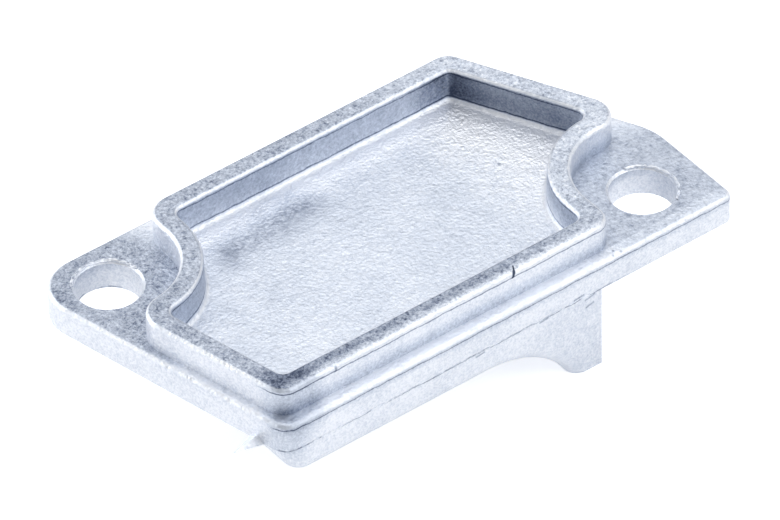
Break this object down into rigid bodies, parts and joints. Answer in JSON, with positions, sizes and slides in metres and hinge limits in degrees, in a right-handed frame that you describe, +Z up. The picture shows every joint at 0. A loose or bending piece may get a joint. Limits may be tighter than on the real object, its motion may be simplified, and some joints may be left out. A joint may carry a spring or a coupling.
{
  "type": "die cast housing",
  "caption": "Flanged die cast cover with two diagonal screw ears, a rimmed shallow pocket on top and an open skirt with one arched leg underneath.",
  "frame": {"origin": "midway between the two screw holes, on the underside of the flange, where the ears seat", "axes": "+Z up along the screws, towards the rim; +X along the long sides, towards the leg's end; the leg is on the -Y side"},
  "size_m": [0.0504, 0.0269, 0.0132],
  "materials": {
    "cast_alloy": "matte as-cast, lightly blasted"
  },
  "bodies": {
    "root": {"housing": "cast_alloy"}
  },
  "joints": []
}
